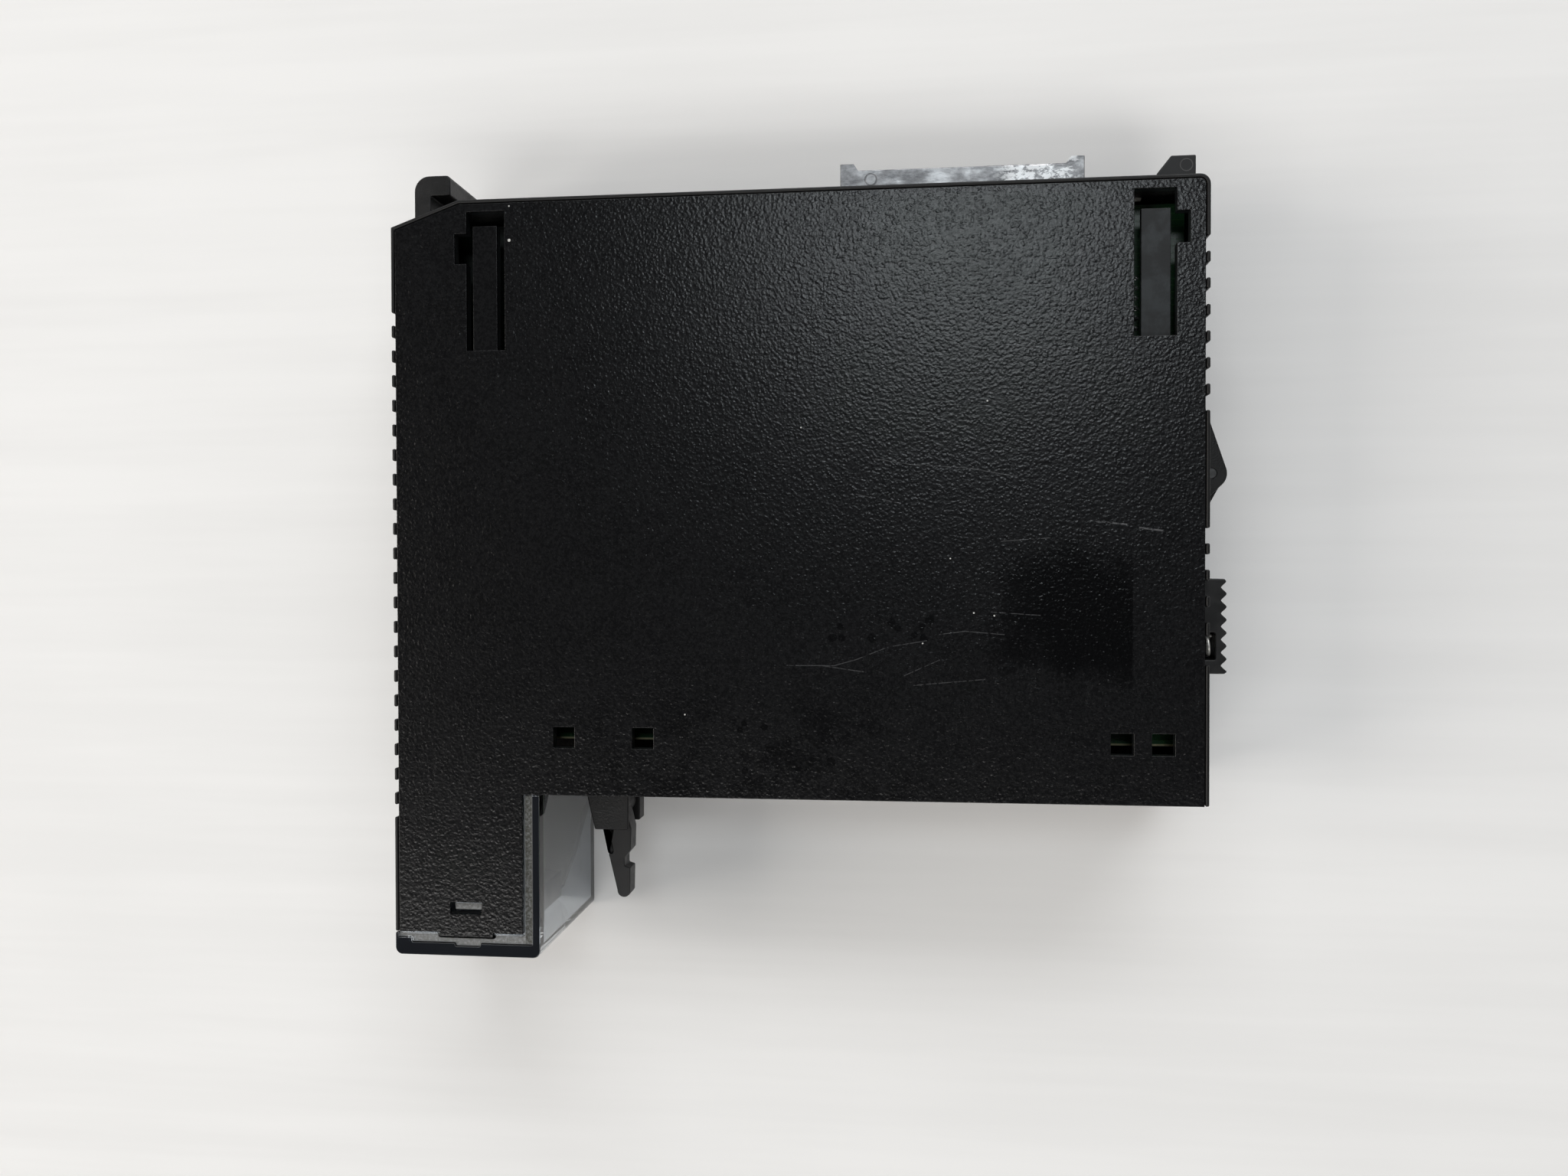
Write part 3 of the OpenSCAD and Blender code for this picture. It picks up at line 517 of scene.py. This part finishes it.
def soften(node, width):
    """Rounds a CAD node's sharp edges with modifiers, which leave its own mesh as it is."""
    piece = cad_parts[node]
    weld = piece.modifiers.new("weld", "WELD")
    weld.merge_threshold = 0.002 * MM
    flat = piece.modifiers.new("flat_faces", "DECIMATE")
    flat.decimate_type = "DISSOLVE"
    flat.angle_limit = math.radians(0.5)
    bevel = piece.modifiers.new("soft_edges", "BEVEL")
    bevel.limit_method = "ANGLE"
    bevel.angle_limit = math.radians(35)
    bevel.width = width * MM
    bevel.segments = 3
    bevel.use_clamp_overlap = False
    bevel.miter_outer = "MITER_ARC"
    normals = piece.modifiers.new("even_normals", "WEIGHTED_NORMAL")
    normals.weight = 100


def dress(node, material):
    """Gives a CAD node this material alone."""
    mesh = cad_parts[node].data
    mesh.materials.clear()
    mesh.materials.append(material)


# ---------------------------------------------------------------- added pieces

def add_piece(name, mesh_builder, material, body):
    """Runs mesh_builder on an empty bmesh and makes a piece of it, on a body of the frame."""
    bm = bmesh.new()
    mesh_builder(bm)
    for face in bm.faces:
        face.smooth = True
    mesh = bpy.data.meshes.new(name)
    bm.to_mesh(mesh)
    bm.free()
    mesh.materials.append(material)
    piece = bpy.data.objects.new(name, mesh)
    bpy.context.scene.collection.objects.link(piece)
    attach(piece, body)
    return piece


def skin(bm, rings):
    """Faces between each ring of vertices and the next, and over both ends."""
    for low, high in zip(rings, rings[1:]):
        for k in range(len(low)):
            n = (k + 1) % len(low)
            bm.faces.new((low[k], low[n], high[n], high[k]))
    bm.faces.new(reversed(rings[0]))
    bm.faces.new(rings[-1])


def lathe(bm, centre, profile, sides=16):
    """Turns (radius, height) pairs around a vertical axis and closes both ends."""
    angles = [math.tau * k / sides for k in range(sides)]
    rings = []
    for radius, height in profile:
        rings.append([bm.verts.new(centre + Vector((radius * math.cos(a), radius * math.sin(a), height)))
                      for a in angles])
    skin(bm, rings)


def tube(bm, points, radius, sides=8):
    """A round wire through the points, closed at both ends."""
    angles = [math.tau * k / sides for k in range(sides)]
    last = len(points) - 1
    rings = []
    for i, point in enumerate(points):
        ahead = (points[min(i + 1, last)] - points[max(i - 1, 0)]).normalized()
        across = ahead.orthogonal() if abs(ahead.x) > 0.99 else ahead.cross(Vector((1, 0, 0)))
        across.normalize()
        other = ahead.cross(across)
        rings.append([bm.verts.new(point + radius * (across * math.cos(a) + other * math.sin(a)))
                      for a in angles])
    skin(bm, rings)


def solder_profile(rng, foot):
    """A solder cone with a concave side and a small round top, a little different each time."""
    narrowing, hollow = 0.62, 1.6
    foot *= rng.uniform(0.9, 1.1)
    tall = 0.75 * foot * rng.uniform(0.9, 1.15)
    return [(foot * (1 - narrowing * math.sin(t * math.pi / 2)) * MM, tall * t ** hollow * MM)
            for t in (0, 0.2, 0.4, 0.6, 0.8, 0.95, 1)]


def wire_corners(node, least):
    """A node's vertices at least so many millimetres above the board, square by square of a grid."""
    square = 1.1 * MM
    top = board_high.z + least * MM
    squares = {}
    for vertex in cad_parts[node].data.vertices:
        if vertex.co.z > top:
            key = (round(vertex.co.x / square), round(vertex.co.y / square))
            squares.setdefault(key, []).append(vertex.co)
    return [corner for group in squares.values() for corner in group]


def tails(node, least):
    """Centres of a node's wires that stand at least so many millimetres above the board."""
    wire_reach, same_wire = 1.5 * MM, 0.3 * MM
    corners = wire_corners(node, least)
    centres = []
    for point in corners:
        near = [p.xy for p in corners if (p.xy - point.xy).length < wire_reach]
        centre = sum(near, Vector((0, 0))) / len(near)
        if all((centre - c).length > same_wire for c in centres):
            centres.append(centre)
    return centres


def solder_joints(bm):
    """Solder joints around the terminal pins' and the connector contacts' tails."""
    rng = random.Random(5)
    board_top = Vector((0, 0, board_high.z))
    for node, foot in (("terminal_pins", 1.15), ("connector_contacts", 0.8)):
        for centre in tails(node, 0.5):
            lathe(bm, centre.to_3d() + board_top, solder_profile(rng, foot))


def edge_joints(bm):
    """A row of small joints on the board beside the cover's right slot."""
    rng = random.Random(9)
    count, pitch = 9, 1.6
    row_x, first_y = 54.95, 34.2
    for i in range(count):
        centre = Vector((row_x * MM, (first_y - pitch * i) * MM, board_high.z))
        lathe(bm, centre, solder_profile(rng, 0.42), 12)


def rounded_box(bm, centre, size, edge):
    """A box with rounded edges, standing on its centre's height."""
    made = bmesh.ops.create_cube(bm, size=1)["verts"]
    shape = Matrix.Translation(centre + Vector((0, 0, size[2] / 2))) @ Matrix.Diagonal((*size, 1))
    bmesh.ops.transform(bm, matrix=shape, verts=made)
    edges = {e for v in made for e in v.link_edges}
    bmesh.ops.bevel(bm, geom=list(edges), offset=edge, segments=2, affect="EDGES")


def small_parts(bm):
    """Surface-mount parts on the board's solder side."""
    places = [(54.9, 46.6), (48.6, 44.0), (-20.4, -38.6), (-24.2, -36.4), (-33.5, -38.4), (43.2, -38.4)]
    size = (1.5 * MM, 0.8 * MM, 0.6 * MM)
    edge = 0.1 * MM
    for x, y in places:
        rounded_box(bm, Vector((x * MM, y * MM, board_high.z)), size, edge)


def lead_path(x, start_y, turn_y, z):
    """One lead: back from a lamp's base to turn_y, round a bend that doubles back, up to the board."""
    bend = 0.8 * MM
    corner = [Vector((x, turn_y - bend * math.cos(a), z + bend * (1 - math.sin(a))))
              for a in (math.pi / 2, math.pi / 4, 0)]
    return [Vector((x, start_y, z)), *corner, Vector((x, turn_y, board_low.z))]


def led_leads(bm):
    """Two bent leads from each status lamp's base, back and up to the board."""
    low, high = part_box("status_leds")
    rows, pitch = 8, 2.4 * MM
    column_inset, half_gap, wire = 1.15 * MM, 0.55 * MM, 0.22 * MM
    middle = (low.z + high.z) / 2
    for x in (low.x + column_inset, high.x - column_inset):
        for row in range(rows):
            z = middle + (row - (rows - 1) / 2) * pitch
            turn_y = high.y + (2.4 + 0.45 * (rows - row)) * MM
            for lead_x in (x - half_gap, x + half_gap):
                tube(bm, lead_path(lead_x, high.y - 0.1 * MM, turn_y, z), wire)


def spring_coil(bm):
    """The release lever's return spring: a round wire coil with its last turns closed up."""
    low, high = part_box("release_spring")
    wire = 0.25 * MM
    radius = (high.z - low.z) / 2 - wire
    turns, steps = 7, 24
    closing = 0.055
    points = []
    for i in range(turns * steps + 1):
        part = i / (turns * steps)
        angle = math.tau * turns * part
        along = part - closing * math.sin(math.tau * part)
        points.append(Vector((
            low.x + wire + along * (high.x - low.x - 2 * wire),
            (low.y + high.y) / 2 + radius * math.cos(angle),
            (low.z + high.z) / 2 + radius * math.sin(angle))))
    tube(bm, points, wire, 10)


def add_spring(material):
    """The return spring, a coil that rides on the housing in place of the CAD node."""
    low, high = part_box("release_spring")
    spring = add_piece("return_spring", spring_coil, material, "housing")
    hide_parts("release_spring")
    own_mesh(spring)


def make_floor(material):
    """A floor just under the object, wide enough to fill the camera's view."""
    bpy.ops.mesh.primitive_plane_add(size=FLOOR_WIDTH, location=(0, 0, -0.05 * MM))
    floor = bpy.context.object
    floor.name = "floor"
    floor.data.materials.append(material)


make_camera()
make_lights()
make_floor(floor_paint())
materials = make_materials()
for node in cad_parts:
    dress(node, materials[node])
for node, width in EDGES.items():
    soften(node, width)
add_piece("solder_joints", solder_joints, materials["solder"], "housing")
add_piece("edge_joints", edge_joints, materials["solder"], "housing")
add_piece("small_parts", small_parts, materials["component_body"], "housing")
add_piece("led_leads", led_leads, materials["solder"], "housing")
add_spring(materials["release_spring"])
